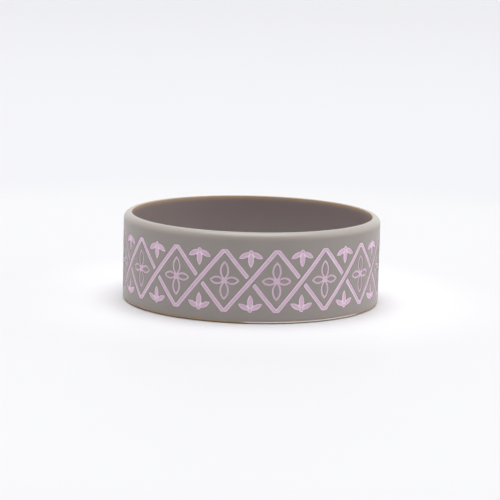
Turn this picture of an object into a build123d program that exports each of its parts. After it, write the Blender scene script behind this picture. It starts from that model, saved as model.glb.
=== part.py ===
"""A one-piece silicone wristband with a colour-filled line ornament, in millimetres.

The band stands on its lower edge: +Z runs up its axis, and the origin is the centre of the ring
at the level it rests on. A row of equal tiles runs round the outside. In each tile a rising strand
crosses over a falling one, with a three-leaved sprig above and another below, and a four-petalled
flower fills the lozenge between two neighbouring tiles. Every line is a shallow groove that holds
a fill of its own.
"""

from build123d import *
from math import atan2, pi, sin
import os

# Band
band_circumference = 202.0  # round the middle of the wall
band_height = 22.5
wall = 2.1
top_outer_rounding = 1.6
bottom_outer_rounding = 1.0
inner_edge_rounding = 0.25

# Strands, which cross once in each tile
tile_count = 16
ornament_above_base = 2.8  # from the lower edge up to the lowest stroke
ornament_below_top = 4.1  # from the top edge down to the highest stroke
strand_width = 1.1
crossing_gap = 0.55  # bare silicone left on each side of a strand that passes over

# Sprigs, which hang from the top of a tile and stand on its bottom
sprig_bud_diameter = 1.2
sprig_leaf_turn = 62.0  # from the middle leaf to a side one
middle_leaf_length = 3.9
middle_leaf_width = 1.5
side_leaf_length = 3.4
side_leaf_width = 1.35

# Flowers, drawn in a finer line
flower_line_width = 0.5
flower_eye_diameter = 1.3
tall_petal_length = 4.9
tall_petal_width = 2.4
side_petal_length = 3.8
side_petal_width = 2.1

# Grooves and their fills
groove_depth = 0.45
fill_below_face = 0.12
fill_side_gap = 0.03
fill_floor_gap = 0.02

# Sizes that follow from these
outer_radius = band_circumference / (2 * pi) + wall / 2
inner_radius = outer_radius - wall
tile_angle = 360 / tile_count
tile_width = 2 * pi * outer_radius / tile_count
ornament_bottom = ornament_above_base
ornament_top = band_height - ornament_below_top
ornament_height = ornament_top - ornament_bottom
ornament_middle = (ornament_bottom + ornament_top) / 2
strand_slope = atan2(ornament_height, tile_width)
cutter_overshoot = 1.0  # how far the groove cutters stand out of the face


def band_section():
    """Half of a cut through the band, with the wall standing at its radius."""
    section = Pos(inner_radius + wall / 2, band_height / 2) * Rectangle(wall, band_height)
    for radius, level, rounding in (
        (outer_radius, band_height, top_outer_rounding),
        (outer_radius, 0, bottom_outer_rounding),
        (inner_radius, band_height, inner_edge_rounding),
        (inner_radius, 0, inner_edge_rounding),
    ):
        corner = section.vertices().sort_by_distance((radius, level))[0]
        section = fillet(corner, rounding)
    return section


def unrolled_shape(points):
    """A flat shape from points of the unrolled face, drawn on the plane that touches the tile's middle."""
    return make_face(Polyline(
        *[(outer_radius * sin(across / outer_radius), level) for across, level in points], close=True
    ))


def rising_strand(spread=0.0, ends=0.0):
    """The stroke from the tile's lower left to its upper right, level at both ends.

    The spread moves its sides out, and ends moves its level ends out.
    """
    half_across = (strand_width / 2 + spread) / sin(strand_slope)
    half_tile = tile_width / 2
    low, high = -ornament_height / 2 - ends, ornament_height / 2 + ends
    return unrolled_shape([
        (-half_tile - half_across, low),
        (-half_tile + half_across, low),
        (half_tile + half_across, high),
        (half_tile - half_across, high),
    ])


def falling_halves(spread):
    """The upper left and the lower right half of the stroke that passes under."""
    falling = mirror(rising_strand(spread, ends=spread), Plane.YZ)
    kept_clear = rising_strand(crossing_gap - spread, ends=strand_width)
    halves = (falling - kept_clear).faces().sort_by(Axis.X)
    return halves[0], halves[-1]


def leaf(length, width, spread):
    """A pointed leaf that grows from the origin along +Y."""
    half_length, half_width = length / 2, width / 2
    side_radius = (half_length**2 + half_width**2) / (2 * half_width)
    side_centre = side_radius - half_width
    left, right = [
        Pos(side * side_centre, half_length) * Circle(side_radius + spread) for side in (-1, 1)
    ]
    return left & right


def petal(length, width, spread):
    """A leaf's outline, as a line of even width."""
    return leaf(length, width, spread) - leaf(length, width, -flower_line_width - spread)


def flower(spread):
    drawing = Circle(flower_eye_diameter / 2 + spread)
    for turn in (0, 180):
        drawing += Rot(0, 0, turn) * petal(tall_petal_length, tall_petal_width, spread)
        drawing += Rot(0, 0, turn + 90) * petal(side_petal_length, side_petal_width, spread)
    return drawing


def sprig(spread):
    """Three leaves that hang from a bud, which touches the ornament's top edge."""
    drawing = Circle(sprig_bud_diameter / 2 + spread) + Rot(0, 0, 180) * leaf(
        middle_leaf_length, middle_leaf_width, spread
    )
    for turn in (-sprig_leaf_turn, sprig_leaf_turn):
        drawing += Rot(0, 0, 180 + turn) * leaf(side_leaf_length, side_leaf_width, spread)
    return Pos(0, ornament_height / 2 - sprig_bud_diameter / 2) * drawing


def tile_drawings(spread):
    """What one tile holds, by name. The flower is drawn for the edge between this tile and the next."""
    upper_half, lower_half = falling_halves(spread)
    return {
        "rising": rising_strand(spread, ends=spread),
        "upper_half": upper_half,
        "lower_half": lower_half,
        "upper_sprig": sprig(spread),
        "lower_sprig": mirror(sprig(spread), Plane.XZ),
        "flower": flower(spread),
    }


def ring(low_radius, high_radius):
    at_base = (Align.CENTER, Align.CENTER, Align.MIN)
    return Cylinder(high_radius, band_height, align=at_base) - Cylinder(low_radius, band_height, align=at_base)


def between_radii(drawing, low_radius, high_radius):
    """A drawing stood up in front of the band, as a prism's part between two radii."""
    front = Plane(origin=(0, -high_radius, ornament_middle), x_dir=(1, 0, 0), z_dir=(0, -1, 0))
    return extrude(front * drawing, -outer_radius / 2) & ring(low_radius, high_radius)


def turned(shape, tiles):
    return Rot(0, 0, tiles * tile_angle) * shape


def groove_cutters():
    floor, clear_of_face = outer_radius - groove_depth, outer_radius + cutter_overshoot
    tile = {
        name: between_radii(drawing, floor, clear_of_face) for name, drawing in tile_drawings(0.0).items()
    }
    tile["flower"] = turned(tile["flower"], 0.5)
    return [turned(cutter, k) for k in range(tile_count) for cutter in tile.values()]


def fills():
    """Every fill of the ornament, by node name."""
    floor, face = outer_radius - groove_depth + fill_floor_gap, outer_radius - fill_below_face
    tile = {
        name: between_radii(drawing, floor, face) for name, drawing in tile_drawings(-fill_side_gap).items()
    }
    strand = turned(tile["lower_half"], -1) + tile["rising"] + turned(tile["upper_half"], 1)
    made = {}
    for k in range(tile_count):
        made[f"strand_fill_{k + 1:02d}"] = turned(strand, k)
        made[f"flower_fill_{k + 1:02d}"] = turned(tile["flower"], k + 0.5)
    for place in ("upper_sprig", "lower_sprig"):
        made[f"{place}_fills"] = Compound(children=[
            solid for k in range(tile_count) for solid in turned(tile[place], k).solids()
        ])
    return made


def main():
    os.makedirs("parts", exist_ok=True)
    band = revolve(Plane.XZ * band_section(), Axis.Z) - groove_cutters()
    for name, shape in {"band": band, **fills()}.items():
        export_step(shape, f"parts/{name}.step")


main()
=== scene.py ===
import math

import bmesh
import bpy
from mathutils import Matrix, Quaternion, Vector


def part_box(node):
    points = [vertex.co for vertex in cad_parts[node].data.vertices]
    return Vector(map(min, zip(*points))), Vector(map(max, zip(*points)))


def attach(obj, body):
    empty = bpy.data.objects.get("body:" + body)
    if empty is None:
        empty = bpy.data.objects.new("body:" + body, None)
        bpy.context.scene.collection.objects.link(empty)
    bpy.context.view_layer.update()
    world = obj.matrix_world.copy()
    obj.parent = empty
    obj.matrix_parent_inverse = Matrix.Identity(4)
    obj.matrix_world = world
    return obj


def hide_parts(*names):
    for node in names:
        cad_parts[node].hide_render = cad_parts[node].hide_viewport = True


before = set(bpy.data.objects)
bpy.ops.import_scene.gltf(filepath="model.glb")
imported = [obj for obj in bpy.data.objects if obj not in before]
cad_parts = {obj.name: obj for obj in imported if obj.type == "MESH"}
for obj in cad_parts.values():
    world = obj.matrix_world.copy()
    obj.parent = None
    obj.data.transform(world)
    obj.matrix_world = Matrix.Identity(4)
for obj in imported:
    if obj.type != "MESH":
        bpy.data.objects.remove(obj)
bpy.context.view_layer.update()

perMetre = 1000  # pieces are modelled in millimetres, which suits the operators' own tolerances
mergeReach = 0.002  # points closer together than this are one
cutReach = 0.00001  # a cut passes through a point that lies this near its plane
tipReach = 0.065  # a point nearer to the line through a leaf's tips leaves too short an edge beside them
flatAngle = math.radians(0.5)  # faces that turn less than this are one
smoothAngle = math.radians(50)  # edges that turn more than this stay sharp
slabDepth = 1  # what a plan is thickened to while its shapes are merged
overshoot = 1  # how far a cutting shape stands out of what it cuts

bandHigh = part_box("band")[1]
strandLow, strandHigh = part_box("strand_fill_01")

band = {
    "outerRadius": bandHigh[0] * perMetre,
    "height": bandHigh[2] * perMetre,
    "wall": 2.1,
    "topOuterRounding": 1.6,
    "bottomOuterRounding": 1.0,
    "outerSteps": 8,  # in which each of the two is rounded
    "innerRounding": 0.25,
    "innerSteps": 3,
    "tiles": 16,
    "columnsPerTile": 20,
    "grooveDepth": 0.45,
    "lipRounding": 0.09,
    "lipSteps": 2,
}
fill = {
    "sideGap": 0.03,
    "floorGap": 0.02,
    "belowFace": 0.12,
}
tileWidth = 2 * math.pi * band["outerRadius"] / band["tiles"]
ornamentBottom = strandLow[2] * perMetre - fill["sideGap"]
ornamentTop = strandHigh[2] * perMetre + fill["sideGap"]
ornamentHeight = ornamentTop - ornamentBottom
ornamentMiddle = (ornamentTop + ornamentBottom) / 2
strandSlope = math.atan2(ornamentHeight, tileWidth)


def choose(*pieces):
    bpy.ops.object.select_all(action="DESELECT")
    for piece in pieces:
        piece.select_set(True)
    bpy.context.view_layer.objects.active = pieces[0]


def startEdit(piece, kind="FACE", everything=False):
    choose(piece)
    bpy.ops.object.mode_set(mode="EDIT")
    bpy.ops.mesh.select_mode(type=kind)
    bpy.ops.mesh.select_all(action="SELECT" if everything else "DESELECT")


def endEdit():
    bpy.ops.object.mode_set(mode="OBJECT")


def pick(piece, elements, wanted):
    mesh = bmesh.from_edit_mesh(piece.data)
    for element in [each for each in getattr(mesh, elements) if wanted(each)]:
        element.select_set(True)
    mesh.select_flush_mode()
    bmesh.update_edit_mesh(piece.data)


def fixPlace(piece):
    choose(piece)
    bpy.ops.object.transform_apply(location=True, rotation=True, scale=True)


def copyOf(piece, name):
    choose(piece)
    bpy.ops.object.duplicate()
    bpy.context.object.name = name
    return bpy.context.object


def joined(pieces, name):
    choose(*pieces)
    bpy.ops.object.join()
    bpy.context.object.name = name
    return bpy.context.object


def applyModifier(piece, kind, **choices):
    choose(piece)
    modifier = piece.modifiers.new(kind.lower(), kind)
    for key, value in choices.items():
        setattr(modifier, key, value)
    bpy.ops.object.modifier_apply(modifier=modifier.name)


def cleanUp(piece):
    startEdit(piece, everything=True)
    bpy.ops.mesh.remove_doubles(threshold=mergeReach)
    bpy.ops.mesh.dissolve_degenerate(threshold=mergeReach)
    bpy.ops.mesh.delete_loose()
    endEdit()


def combine(piece, tool, operation):
    applyModifier(piece, "BOOLEAN", object=tool, operation=operation, solver="EXACT")
    bpy.data.objects.remove(tool)
    cleanUp(piece)


def cutAway(piece, point, normal):  # the side that the normal points to goes
    startEdit(piece, everything=True)
    bpy.ops.mesh.bisect(plane_co=point, plane_no=normal, clear_outer=True, threshold=cutReach)
    endEdit()


def cutColumns(piece):  # upright cuts, so that the flat piece can be bent round
    width = tileWidth / band["columnsPerTile"]
    startEdit(piece)
    low = min(vertex.co.x for vertex in piece.data.vertices)
    high = max(vertex.co.x for vertex in piece.data.vertices)
    for step in range(math.floor(low / width), math.ceil(high / width)):
        across = (step + 0.5) * width  # beside the pieces' own middle lines
        bpy.ops.mesh.select_all(action="SELECT")
        bpy.ops.mesh.bisect(plane_co=(across, 0, 0), plane_no=(1, 0, 0), threshold=cutReach)
    endEdit()


def bendRound(piece):
    choose(piece)
    turn = piece.dimensions.x / band["outerRadius"]
    applyModifier(piece, "SIMPLE_DEFORM", deform_method="BEND", deform_axis="Z", angle=turn)
    piece.location.y = -band["outerRadius"]
    fixPlace(piece)


def turned(piece, tiles):
    piece.rotation_euler.z = tiles * 2 * math.pi / band["tiles"]
    fixPlace(piece)


def shrink(piece):
    piece.scale = [1 / perMetre] * 3
    fixPlace(piece)


def smooth(piece):
    choose(piece)
    bpy.ops.object.shade_smooth_by_angle(angle=smoothAngle)
    applyModifier(piece, "WEIGHTED_NORMAL", keep_sharp=True, weight=80)


# The ornament is drawn flat: X runs round the band, Z up, and the face looks to -Y


def thicken(plan, front, back):
    startEdit(plan, everything=True)
    bpy.ops.transform.resize(value=(1, 0, 1), center_override=(0, 0, 0))
    bpy.ops.transform.translate(value=(0, front, 0))
    bpy.ops.mesh.extrude_region_move(TRANSFORM_OT_translate={"value": (0, back - front, 0)})
    bpy.ops.mesh.select_all(action="SELECT")
    bpy.ops.mesh.normals_make_consistent(inside=False)
    endEdit()


def facesFront(face):
    return face.normal.y < -0.5


def mergedPlan(shapes, openings, name):  # by way of thick shapes, of which only the front is kept
    for shape in shapes:
        thicken(shape, 0, slabDepth)
    for opening in openings:
        thicken(opening, -overshoot, slabDepth + overshoot)
    plan = shapes[0]
    for shape in shapes[1:]:
        combine(plan, shape, "UNION")
    for opening in openings:
        combine(plan, opening, "DIFFERENCE")
    plan.name = name
    startEdit(plan)
    pick(plan, "faces", lambda face: not facesFront(face))
    bpy.ops.mesh.delete(type="FACE")
    bpy.ops.mesh.select_all(action="SELECT")
    bpy.ops.mesh.dissolve_limited(angle_limit=flatAngle)
    endEdit()
    cleanUp(plan)
    return plan


corner = {
    "opening": 150,  # degrees between its two edges, above which a point is only part of a curve
    "steps": 3,
}


def turnsSharply(vertex, notches):
    if len(vertex.link_edges) != 2:
        return False
    one, other = [edge.other_vert(vertex).co - vertex.co for edge in vertex.link_edges]
    isTip = vertex.link_loops[0].is_convex
    return math.degrees(one.angle(other)) < corner["opening"] and (isTip or notches)


def roundCorners(plan, radius, notches=True):
    startEdit(plan, "VERT")
    pick(plan, "verts", lambda vertex: turnsSharply(vertex, notches))
    bpy.ops.mesh.bevel(offset=radius, segments=corner["steps"], affect="VERTICES", clamp_overlap=True)
    endEdit()
    cleanUp(plan)


strand = {
    "width": 1.1,
    "crossingGap": 0.55,
    "cornerRounding": 0.22,
    "hollow": ((0.22, 0.05), (0.31, 0.09)),  # the fill sinks in steps: how far in from its rim, how deep
}


def strandStroke(rises, spread):
    turn = -strandSlope if rises else strandSlope
    bpy.ops.mesh.primitive_plane_add(size=1, rotation=(math.pi / 2, turn, 0))
    stroke = bpy.context.object
    stroke.scale = (2 * ornamentHeight, strand["width"] + 2 * spread, 1)
    fixPlace(stroke)
    for side in (1, -1):
        cutAway(stroke, (0, 0, side * (ornamentHeight / 2 + spread)), (0, 0, side))
    return stroke


def makeStrandPlan(spread):  # 0 gives a groove's plan, and a little less than 0 that of the fill in it
    clear = strand["width"] / 2 + strand["crossingGap"] - spread
    towardsStrand = Vector((-math.sin(strandSlope), 0, math.cos(strandSlope)))
    strokes = [strandStroke(rises=True, spread=spread)]
    for side in (1, -1):  # the halves that come from under one neighbour and go under the next
        half = strandStroke(rises=False, spread=spread)
        cutAway(half, -side * clear * towardsStrand, side * towardsStrand)
        half.location.x = -side * tileWidth
        fixPlace(half)
        strokes.append(half)
    plan = mergedPlan(strokes, [], "strandPlan")
    roundCorners(plan, strand["cornerRounding"])
    return plan


circlePoints = {"leaf": 72, "disc": 32}  # round the whole circle that a leaf's side is part of, and a disc


def leaf(length, width, turn, spread=0):  # grows from the origin; the spread moves its two sides out
    sideRadius = (length ** 2 + width ** 2) / (4 * width)
    bpy.ops.mesh.primitive_circle_add(
        vertices=circlePoints["leaf"], radius=sideRadius + spread, fill_type="NGON",
        rotation=(math.pi / 2, 0, 0), location=(sideRadius - width / 2, 0, length / 2),
    )
    shape = bpy.context.object
    fixPlace(shape)
    cutAway(shape, (0, 0, 0), (1, 0, 0))
    applyModifier(shape, "MIRROR", merge_threshold=mergeReach)
    startEdit(shape, "VERT", everything=True)
    bpy.ops.mesh.dissolve_limited(angle_limit=flatAngle)
    bpy.ops.mesh.select_all(action="DESELECT")
    pick(shape, "verts", lambda vertex: mergeReach < abs(vertex.co.x) < tipReach)
    bpy.ops.mesh.dissolve_verts()
    endEdit()
    shape.rotation_euler.y = math.radians(turn)
    fixPlace(shape)
    return shape


def disc(diameter):
    bpy.ops.mesh.primitive_circle_add(
        vertices=circlePoints["disc"], radius=diameter / 2, fill_type="NGON",
        rotation=(math.pi / 2, 0, 0),
    )
    fixPlace(bpy.context.object)
    return bpy.context.object


flower = {
    "line": 0.5,
    "eye": 1.3,
    "tallPetal": (4.9, 2.4),  # length and width
    "sidePetal": (3.8, 2.1),
    "hollow": ((0.08, 0.05),),
}


def makeFlowerPlan(spread):
    petals = [(flower["tallPetal"], turn) for turn in (0, 180)]
    petals += [(flower["sidePetal"], turn) for turn in (90, 270)]
    shapes = [disc(flower["eye"] + 2 * spread)] + [leaf(*size, turn, spread) for size, turn in petals]
    openings = [leaf(*size, turn, -flower["line"] - spread) for size, turn in petals]
    return mergedPlan(shapes, openings, "flowerPlan")


sprig = {
    "bud": 1.2,
    "middleLeaf": (3.9, 1.5),  # length and width
    "sideLeaf": (3.4, 1.35),
    "leafTurn": 62,  # degrees from the middle leaf to a side one
    "web": (0.4, 1.56, 31.3),  # width, reach from the bud and turn of what closes a notch's sharp end
    "cornerRounding": 0.12,
    "hollow": ((0.2, 0.05), (0.29, 0.09)),
}


def web(side, spread):
    width, reach, turn = sprig["web"]
    reach += spread
    bpy.ops.mesh.primitive_plane_add(size=1, rotation=(math.pi / 2, 0, 0), location=(0, 0, -reach / 2))
    shape = bpy.context.object
    shape.scale = (width, reach, 1)
    fixPlace(shape)
    shape.rotation_euler.y = side * math.radians(turn)
    fixPlace(shape)
    return shape


def makeSprigPlan(spread):
    shapes = [disc(sprig["bud"] + 2 * spread), leaf(*sprig["middleLeaf"], 180, spread)]
    shapes += [leaf(*sprig["sideLeaf"], 180 + side * sprig["leafTurn"], spread) for side in (-1, 1)]
    if spread >= -fill["sideGap"]:  # the hollows inside a fill have no notches
        shapes += [web(side, spread) for side in (-1, 1)]
    for shape in shapes:
        shape.location.z = (ornamentHeight - sprig["bud"]) / 2
        fixPlace(shape)
    plan = mergedPlan(shapes, [], "sprigPlan")
    roundCorners(plan, sprig["cornerRounding"], notches=False)
    return plan


print("drawing the ornament")
groovePlans = [makePlan(0) for makePlan in (makeStrandPlan, makeFlowerPlan, makeSprigPlan)]


def roundEdge(slab, depth, level, radius, steps):
    startEdit(slab, "EDGE")
    pick(slab, "edges", lambda edge: all(
        abs(vertex.co.y - depth) < mergeReach and abs(vertex.co.z - level) < mergeReach
        for vertex in edge.verts
    ))
    bpy.ops.mesh.bevel(offset=radius, segments=steps, affect="EDGES", clamp_overlap=False)
    endEdit()


def grooveTool(plan, tiles, turn=0):
    tool = copyOf(plan, "grooveTool")
    tool.location = (tiles * tileWidth, 0, ornamentMiddle)
    tool.rotation_euler.y = turn
    fixPlace(tool)
    thicken(tool, -overshoot, band["grooveDepth"])
    return tool


def isEnd(face):  # at either end of the tile, where its neighbours join
    across = face.calc_center_median().x
    return abs(face.normal.x) > 0.999 and min(abs(across), abs(across - tileWidth)) < mergeReach


def isLip(edge):  # between the band's face and a groove's side
    onFace = all(abs(vertex.co.y) < mergeReach for vertex in edge.verts)
    hasSide = any(abs(face.normal.y) < 0.5 for face in edge.link_faces)
    return onFace and hasSide and len(edge.link_faces) == 2


# A thin lip of flash is left along part of the lower edge, where the mould's halves met
flash = {
    "azimuths": (-6, 57),  # degrees round from the front, towards +X
    "fade": 8,  # degrees over which it rises at each end
    "fadeSteps": 4,
    # Each loop of the lower rounding: its level, how deep it lies behind the face, and how deep it will
    "loops": (
        (0.805, 0.019, 0.07), (0.617, 0.076, 0.2), (0.444, 0.169, 0.0),
        (0.293, 0.293, 0.03), (0.169, 0.444, 0.2), (0.076, 0.617, 0.5),
    ),
    "levelReach": 0.01,  # a point this near a loop's level is on it
}


def isOnLoop(vertex, level):
    isOuter = vertex.co.xy.length > band["outerRadius"] - band["wall"] / 2
    return isOuter and abs(vertex.co.z - level) < flash["levelReach"]


def azimuthOf(vertex):
    return math.degrees(math.atan2(vertex.co.x, -vertex.co.y))


def drawOutFlash(piece):
    steps = flash["fadeSteps"]
    low, high = flash["azimuths"]
    startEdit(piece, "VERT")
    for level, depth, newDepth in flash["loops"]:
        level, depth = level * band["bottomOuterRounding"], depth * band["bottomOuterRounding"]
        growth = ((band["outerRadius"] - newDepth) / (band["outerRadius"] - depth)) ** (1 / steps)
        for step in range(steps):
            fade = step * flash["fade"] / steps
            bpy.ops.mesh.select_all(action="DESELECT")
            pick(piece, "verts", lambda vertex: (
                isOnLoop(vertex, level) and low + fade < azimuthOf(vertex) < high - fade
            ))
            bpy.ops.transform.resize(value=(growth, growth, 1), center_override=(0, 0, 0))
    endEdit()


def makeBand():
    wall, height = band["wall"], band["height"]
    bpy.ops.mesh.primitive_cube_add(size=1, location=(tileWidth / 2, wall / 2, height / 2))
    piece = bpy.context.object
    piece.name = "siliconeBand"
    piece.scale = (tileWidth, wall, height)
    fixPlace(piece)
    roundEdge(piece, 0, height, band["topOuterRounding"], band["outerSteps"])
    roundEdge(piece, 0, 0, band["bottomOuterRounding"], band["outerSteps"])
    roundEdge(piece, wall, height, band["innerRounding"], band["innerSteps"])
    roundEdge(piece, wall, 0, band["innerRounding"], band["innerSteps"])
    strandPlan, flowerPlan, sprigPlan = groovePlans
    tools = [grooveTool(flowerPlan, 0.5)]
    for tiles in (0, 1):
        tools.append(grooveTool(strandPlan, tiles))
        tools.append(grooveTool(sprigPlan, tiles))
        tools.append(grooveTool(sprigPlan, tiles, math.pi))
    combine(piece, joined(tools, "grooveTools"), "DIFFERENCE")
    startEdit(piece)
    pick(piece, "faces", isEnd)
    bpy.ops.mesh.delete(type="FACE")
    bpy.ops.mesh.select_all(action="SELECT")
    bpy.ops.mesh.remove_doubles(threshold=mergeReach / 4)
    bpy.ops.mesh.dissolve_limited(angle_limit=flatAngle)
    bpy.ops.mesh.select_mode(type="EDGE")
    bpy.ops.mesh.select_all(action="DESELECT")
    pick(piece, "edges", isLip)
    bpy.ops.mesh.bevel(
        offset=band["lipRounding"], segments=band["lipSteps"], affect="EDGES", clamp_overlap=False,
        loop_slide=False,
    )
    endEdit()
    cutColumns(piece)
    applyModifier(
        piece, "ARRAY", count=band["tiles"], use_relative_offset=False, use_constant_offset=True,
        constant_offset_displace=(tileWidth, 0, 0), use_merge_vertices=True, merge_threshold=mergeReach,
    )
    bendRound(piece)
    startEdit(piece, everything=True)
    bpy.ops.mesh.remove_doubles(threshold=mergeReach)
    bpy.ops.mesh.normals_make_consistent(inside=False)
    endEdit()
    drawOutFlash(piece)
    smooth(piece)
    shrink(piece)
    return piece


def makeFill(name, makePlan, hollow, turn=0, count=1):
    piece = makePlan(-fill["sideGap"])
    piece.name = name
    thicken(piece, fill["belowFace"], band["grooveDepth"] - fill["floorGap"])
    for across, down in hollow:
        tool = makePlan(-fill["sideGap"] - across)
        thicken(tool, -overshoot, fill["belowFace"] + down)
        combine(piece, tool, "DIFFERENCE")
    piece.rotation_euler.y = turn
    piece.location.z = ornamentMiddle
    fixPlace(piece)
    cutColumns(piece)
    if count > 1:
        applyModifier(
            piece, "ARRAY", count=count, use_relative_offset=False, use_constant_offset=True,
            constant_offset_displace=(tileWidth, 0, 0),
        )
    bendRound(piece)
    smooth(piece)
    return piece


def reportMesh(piece):
    mesh = bmesh.new()
    mesh.from_mesh(piece.data)
    openEdges = sum(not edge.is_manifold for edge in mesh.edges)
    triangles = sum(len(face.verts) - 2 for face in mesh.faces)
    volume = round(mesh.calc_volume() * perMetre ** 3, 3)
    size = [round(side * perMetre, 3) for side in piece.dimensions]
    print(piece.name, "triangles", triangles, "open edges", openEdges, "volume mm3", volume, "size mm", size)
    mesh.free()


print("modelling the band")
bandPiece = makeBand()
reportMesh(bandPiece)

print("modelling the fills")
fillPieces = []
strandFill = makeFill("strandFill", makeStrandPlan, strand["hollow"])
flowerFill = makeFill("flowerFill", makeFlowerPlan, flower["hollow"])
turned(flowerFill, 0.5)
for number in range(band["tiles"]):
    for first, node in ((strandFill, "strand_fill"), (flowerFill, "flower_fill")):
        piece = copyOf(first, f"{first.name}{number + 1:02d}")
        turned(piece, number)
        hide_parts(f"{node}_{number + 1:02d}")
        fillPieces.append(piece)
for turn, name, node in (
    (0, "upperSprigFills", "upper_sprig_fills"),
    (math.pi, "lowerSprigFills", "lower_sprig_fills"),
):
    piece = makeFill(name, makeSprigPlan, sprig["hollow"], turn, band["tiles"])
    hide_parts(node)
    fillPieces.append(piece)
for piece in [strandFill, flowerFill] + groovePlans:
    bpy.data.objects.remove(piece)
for piece in fillPieces:
    shrink(piece)
    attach(piece, "root")
for piece in fillPieces[:2] + fillPieces[-2:]:
    reportMesh(piece)
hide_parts("band")
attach(bandPiece, "root")


print("mixing the materials")


def addNode(tree, kind, place):
    node = tree.nodes.new(kind)
    node.location = place
    return node


def makeSatinGrain():  # the fine blasted texture of the mould, as a height and a mask
    group = bpy.data.node_groups.new("satinGrain", "ShaderNodeTree")
    for name, default in (("Grain Size", 0.00012), ("Cloud Size", 0.004)):
        socket = group.interface.new_socket(name, in_out="INPUT", socket_type="NodeSocketFloat")
        socket.default_value = default
    for name in ("Grain", "Cloud"):
        group.interface.new_socket(name, in_out="OUTPUT", socket_type="NodeSocketFloat")
    entry = addNode(group, "NodeGroupInput", (-800, 0))
    leave = addNode(group, "NodeGroupOutput", (400, 0))
    place = addNode(group, "ShaderNodeTexCoord", (-800, 250))
    noises = (("Grain Size", "Grain", 4.0), ("Cloud Size", "Cloud", 2.0))  # the last is the detail
    for row, (size, output, detail) in enumerate(noises):
        perSize = addNode(group, "ShaderNodeMath", (-550, -250 * row))
        perSize.operation = "DIVIDE"
        perSize.inputs[0].default_value = 1
        noise = addNode(group, "ShaderNodeTexNoise", (-250, -250 * row))
        noise.inputs["Detail"].default_value = detail
        group.links.new(entry.outputs[size], perSize.inputs[1])
        group.links.new(place.outputs["Object"], noise.inputs["Vector"])
        group.links.new(perSize.outputs[0], noise.inputs["Scale"])
        group.links.new(noise.outputs["Fac"], leave.inputs[output])
    return group


satinGrain = makeSatinGrain()


def ramp(tree, source, low, high, place):  # 0 below the low value, 1 above the high one
    node = addNode(tree, "ShaderNodeMapRange", place)
    node.interpolation_type = "SMOOTHSTEP"
    node.inputs["From Min"].default_value, node.inputs["From Max"].default_value = low, high
    tree.links.new(source, node.inputs["Value"])
    return node.outputs["Result"]


def mixed(tree, share, first, second, place):
    node = addNode(tree, "ShaderNodeMix", place)
    node.data_type = "RGBA"
    tree.links.new(share, node.inputs["Factor"])
    for name, colour in (("A", first), ("B", second)):
        if isinstance(colour, bpy.types.NodeSocket):
            tree.links.new(colour, node.inputs[name])
        else:
            node.inputs[name].default_value = colour
    return node.outputs["Result"]


def product(tree, one, other, place):
    node = addNode(tree, "ShaderNodeMath", place)
    node.operation = "MULTIPLY"
    tree.links.new(one, node.inputs[0])
    tree.links.new(other, node.inputs[1])
    return node.outputs[0]


def startMaterial(look):  # gives the material, and the outputs for cloud, distance from the axis and level
    material = bpy.data.materials.new(look["name"])
    material.use_nodes = True
    tree = material.node_tree
    shader = tree.nodes["Principled BSDF"]
    shader.inputs["IOR"].default_value = look["ior"]
    grain = addNode(tree, "ShaderNodeGroup", (-1500, -200))
    grain.node_tree = satinGrain
    grain.inputs["Grain Size"].default_value = look["grainSize"]
    grain.inputs["Cloud Size"].default_value = look["cloudSize"]
    gloss = addNode(tree, "ShaderNodeMapRange", (-400, -200))
    gloss.inputs["To Min"].default_value, gloss.inputs["To Max"].default_value = look["roughness"]
    tree.links.new(grain.outputs["Cloud"], gloss.inputs["Value"])
    tree.links.new(gloss.outputs["Result"], shader.inputs["Roughness"])
    bump = addNode(tree, "ShaderNodeBump", (-400, -450))
    bump.inputs["Strength"].default_value = look["grainStrength"]
    bump.inputs["Distance"].default_value = look["grainHeight"]
    tree.links.new(grain.outputs["Grain"], bump.inputs["Height"])
    tree.links.new(bump.outputs["Normal"], shader.inputs["Normal"])
    place = addNode(tree, "ShaderNodeTexCoord", (-1900, 200))
    parts = addNode(tree, "ShaderNodeSeparateXYZ", (-1700, 200))
    tree.links.new(place.outputs["Object"], parts.inputs[0])
    flat = addNode(tree, "ShaderNodeCombineXYZ", (-1500, 350))
    for axis in "XY":
        tree.links.new(parts.outputs[axis], flat.inputs[axis])
    away = addNode(tree, "ShaderNodeVectorMath", (-1300, 350))
    away.operation = "LENGTH"
    tree.links.new(flat.outputs[0], away.inputs[0])
    return material, grain.outputs["Cloud"], away.outputs["Value"], parts.outputs["Z"]


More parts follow.
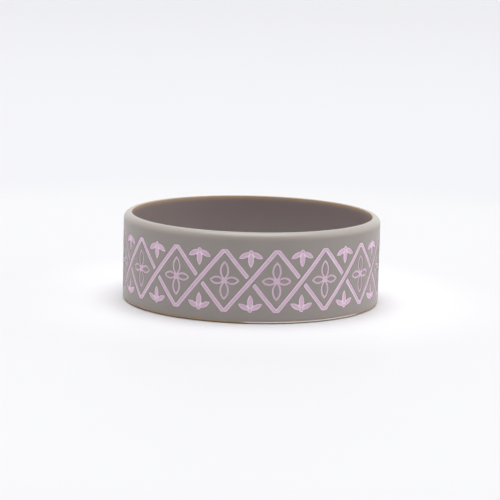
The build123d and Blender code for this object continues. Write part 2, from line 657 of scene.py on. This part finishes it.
silicone = {
    "name": "warmGreySilicone",
    "face": ((0.323, 0.287, 0.267, 1), (0.343, 0.306, 0.285, 1)),  # the least and the most clouded
    "inside": ((0.301, 0.251, 0.238, 1), (0.269, 0.218, 0.211, 1)),  # the lower half, and near the top, where it is darker as painted shade
    # painted light and shade: a light warm brown along the inner top rounding, standing in for how that
    # rounding is lit
    "innerEdge": (0.58, 0.41, 0.262, 1),
    "rim": ((0.475, 0.405, 0.362, 1), (0.450, 0.420, 0.392, 1)),  # painted light on the top rounding: its lower, warmer part and its upper part
    "foot": (0.460, 0.312, 0.190, 1),  # painted shade, brown, on the lower rounding where it turns under and in the crease above the flash lip
    # painted highlight along the top of the flash lip, where the roof light falls on it
    "flash": (0.820, 0.790, 0.770, 1),
    "fades": {  # from where to where each tone comes in, in millimetres
        "insideHigh": (-10.5, -2.5),  # up from the top edge, as the next three
        "innerEdge": (-1.5, 0.1),
        "rim": (-2.1, -0.6),
        "crown": (-1.0, -0.2),
        "outside": (0.1, 0.28),  # out from the inner wall
        "tuckedIn": (-0.01, -0.08),  # out from the face
        "foot": (1.0, 0.6),  # up from the lower edge, as the next two
        "underCrest": (0.61, 0.56),
        "overCrest": (0.24, 0.3),
    },
    "flashEnds": (1, 6),  # degrees inwards from the lip's ends, over which its tone comes in
    "roughness": (0.3, 0.38),
    "ior": 1.5,
    "grainSize": 0.00015,
    "grainHeight": 0.000006,
    "grainStrength": 0.5,
    "cloudSize": 0.006,
}


def reachOf(fade, start):
    return [(start + offset) / perMetre for offset in fade]


def mixSilicone():
    material, cloud, away, level = startMaterial(silicone)
    tree = material.node_tree
    fades, top, face = silicone["fades"], band["height"], band["outerRadius"]
    high = ramp(tree, level, *reachOf(fades["insideHigh"], top), (-1550, 850))
    nearTop = ramp(tree, level, *reachOf(fades["innerEdge"], top), (-1300, 600))
    outside = ramp(tree, away, *reachOf(fades["outside"], face - band["wall"]), (-1050, 350))
    upper = ramp(tree, level, *reachOf(fades["rim"], top), (-1050, 100))
    crown = ramp(tree, level, *reachOf(fades["crown"], top), (-1300, 100))
    paintedRimLight = mixed(tree, crown, *silicone["rim"], (-1050, 1100))
    lower = ramp(tree, level, *reachOf(fades["foot"], 0), (-1050, -150))
    tuckedIn = ramp(tree, away, *reachOf(fades["tuckedIn"], face), (-1050, -400))
    underCrest = ramp(tree, level, *reachOf(fades["underCrest"], 0), (-1300, -650))
    overCrest = ramp(tree, level, *reachOf(fades["overCrest"], 0), (-1300, -400))
    crest = product(tree, underCrest, overCrest, (-1050, -650))
    place = addNode(tree, "ShaderNodeTexCoord", (-1500, -900))
    along = addNode(tree, "ShaderNodeVectorMath", (-1300, -900))
    along.operation = "DOT_PRODUCT"
    first, last = (math.radians(azimuth) for azimuth in flash["azimuths"])
    along.inputs[1].default_value = (math.sin((first + last) / 2), -math.cos((first + last) / 2), 0)
    tree.links.new(place.outputs["Object"], along.inputs[0])
    turns = [(last - first) / 2 - math.radians(inwards) for inwards in silicone["flashEnds"]]
    ends = [face / perMetre * math.cos(turn) for turn in turns]
    inLip = ramp(tree, along.outputs["Value"], *ends, (-1050, -900))
    tone = mixed(tree, cloud, *silicone["face"], (-1050, 600))
    # painted shade: the inside wall darkens towards the top edge
    within = mixed(tree, high, *silicone["inside"], (-1300, 850))
    # painted light and shade along the inner top rounding
    within = mixed(tree, nearTop, within, silicone["innerEdge"], (-1050, 850))
    tone = mixed(tree, outside, within, tone, (-800, 600))
    # painted light: the top rounding and the top of the outer wall are lightened where the roof light falls
    tone = mixed(tree, product(tree, outside, upper, (-850, 100)), tone, paintedRimLight, (-600, 600))
    # painted shade: brown on the tucked-in lower rounding and in the crease above the flash lip
    tone = mixed(tree, product(tree, lower, tuckedIn, (-850, -150)), tone, silicone["foot"], (-400, 600))
    # painted highlight on the top of the flash lip
    tone = mixed(tree, product(tree, crest, inLip, (-850, -650)), tone, silicone["flash"], (-200, 600))
    tree.links.new(tone, tree.nodes["Principled BSDF"].inputs["Base Color"])
    return material


ink = {
    "name": "lilacInk",
    "core": ((0.78, 0.535, 0.69, 1), (0.83, 0.59, 0.745, 1)),
    # lighter at the fill's rim: partly thicker ink at the edge, partly a painted highlight along it
    "rim": (0.97, 0.80, 0.935, 1),
    "rimFade": (-0.05, -0.01),  # out from the rim's level, in millimetres
    "roughness": (0.35, 0.45),
    "ior": 1.5,
    "grainSize": 0.0006,
    "grainHeight": 0.00002,
    "grainStrength": 0.5,
    "cloudSize": 0.002,
}


def mixInk():
    material, cloud, away = startMaterial(ink)[:3]
    tree = material.node_tree
    rim = band["outerRadius"] - fill["belowFace"]
    high = ramp(tree, away, *reachOf(ink["rimFade"], rim), (-1050, 350))
    tone = mixed(tree, cloud, *ink["core"], (-1050, 600))
    # partly painted highlight: the fill's rim is lighter than its core
    tone = mixed(tree, high, tone, ink["rim"], (-800, 600))
    tree.links.new(tone, tree.nodes["Principled BSDF"].inputs["Base Color"])
    return material


bandPiece.data.materials.append(mixSilicone())
inkMaterial = mixInk()
for piece in fillPieces:
    piece.data.materials.append(inkMaterial)


print("setting the stage")
# The table is painted light: lightest around the band, which lifts its shadow, and darker further off
table = {
    "reach": 8.0,
    "corners": 96,
    "middle": (0.885, 0.885, 0.91, 1),
    "tones": (  # from what distance, to what distance, and the tone that it has turned into by then
        (0.028, 0.075, (0.778, 0.778, 0.795, 1)),
        (0.16, 0.24, (0.744, 0.746, 0.774, 1)),
        (0.24, 1.6, (0.685, 0.685, 0.712, 1)),
    ),
    "roughness": 0.6,
    "gloss": 0.2,
}


def makeTable():
    bpy.ops.mesh.primitive_circle_add(
        vertices=table["corners"], radius=table["reach"], fill_type="NGON"
    )
    top = bpy.context.object
    top.name = "tableTop"
    material = bpy.data.materials.new("whiteTable")
    material.use_nodes = True
    tree = material.node_tree
    shader = tree.nodes["Principled BSDF"]
    shader.inputs["Roughness"].default_value = table["roughness"]
    shader.inputs["Specular IOR Level"].default_value = table["gloss"]
    place = addNode(tree, "ShaderNodeTexCoord", (-1300, 0))
    away = addNode(tree, "ShaderNodeVectorMath", (-1100, 0))
    away.operation = "LENGTH"
    tree.links.new(place.outputs["Object"], away.inputs[0])
    tone = table["middle"]
    # painted light: the tone falls off with distance from the band
    for row, (near, far, colour) in enumerate(table["tones"]):
        share = ramp(tree, away.outputs["Value"], near, far, (-900, -250 * row))
        tone = mixed(tree, share, tone, colour, (-600 + 200 * row, 0))
    tree.links.new(tone, shader.inputs["Base Color"])
    top.data.materials.append(material)


makeTable()

# The lit parts of a white tent: where each lies, the cosines at which it fades in, and how bright it is
tent = {
    "roof": ((0, 0, 1), 0.8, 0.97, 4.15),
    "back": ((0, 0.98, 0.2), 0.6, 0.9, 0.85),
    "left": ((-0.98, 0, 0.2), 0.6, 0.9, 0.6),
    "right": ((0.98, 0, 0.2), 0.6, 0.9, 1.15),
    "skirting": ((0, 0, 1), 0.4, 0.1, 0.33),
}
tentSeen = (0.93, 0.93, 0.95, 1)  # what the camera itself sees of it


def makeTent():
    world = bpy.data.worlds.new("tent")
    bpy.context.scene.world = world
    world.use_nodes = True
    tree = world.node_tree
    place = addNode(tree, "ShaderNodeTexCoord", (-1400, 0))
    total = None
    for row, (direction, dark, bright, strength) in enumerate(tent.values()):
        towards = addNode(tree, "ShaderNodeVectorMath", (-1150, -250 * row))
        towards.operation = "DOT_PRODUCT"
        towards.inputs[1].default_value = Vector(direction).normalized()
        tree.links.new(place.outputs["Generated"], towards.inputs[0])
        share = addNode(tree, "ShaderNodeMapRange", (-900, -250 * row))
        share.interpolation_type = "SMOOTHSTEP"
        share.inputs["From Min"].default_value = dark
        share.inputs["From Max"].default_value = bright
        share.inputs["To Max"].default_value = strength
        tree.links.new(towards.outputs["Value"], share.inputs["Value"])
        if total:
            added = addNode(tree, "ShaderNodeMath", (-600, -250 * row))
            tree.links.new(total, added.inputs[0])
            tree.links.new(share.outputs["Result"], added.inputs[1])
            total = added.outputs[0]
        else:
            total = share.outputs["Result"]
    eye = addNode(tree, "ShaderNodeLightPath", (-400, 300))
    shown = addNode(tree, "ShaderNodeMix", (-150, 0))
    shown.data_type = "RGBA"
    shown.inputs["B"].default_value = tentSeen
    tree.links.new(eye.outputs["Is Camera Ray"], shown.inputs["Factor"])
    tree.links.new(total, shown.inputs["A"])
    tree.links.new(shown.outputs["Result"], tree.nodes["Background"].inputs["Color"])


makeTent()

view = {
    "lens": 147.3,
    "sensorWidth": 36,
    "distance": 16.02 * band["outerRadius"] / perMetre,
    "pitch": 9.90,
    "roll": 1.41,
    "aside": 1.2,  # how far right and down of the frame's middle the band's middle lies, in its pixels
    "below": 5.67,
    "frameWidth": 500,
    "nearest": 0.01,
}


def makeCamera():
    bpy.ops.object.camera_add()
    camera = bpy.context.object
    camera.data.lens = view["lens"]
    camera.data.sensor_width = view["sensorWidth"]
    camera.data.clip_start = view["nearest"]
    pitch, roll = math.radians(view["pitch"]), math.radians(view["roll"])
    middle = Vector((0, 0, band["height"] / 2 / perMetre))
    backwards = Vector((0, -math.cos(pitch), math.sin(pitch)))
    camera.location = middle + view["distance"] * backwards
    looking = (-backwards).to_track_quat("-Z", "Y") @ Quaternion((0, 0, 1), roll)
    pixelTurn = camera.data.sensor_width / view["frameWidth"] / view["lens"]
    looking = looking @ Quaternion((0, 1, 0), view["aside"] * pixelTurn)
    looking = looking @ Quaternion((1, 0, 0), view["below"] * pixelTurn)
    camera.rotation_mode = "QUATERNION"
    camera.rotation_quaternion = looking
    bpy.context.scene.camera = camera


makeCamera()
bpy.context.scene.view_settings.view_transform = "Standard"
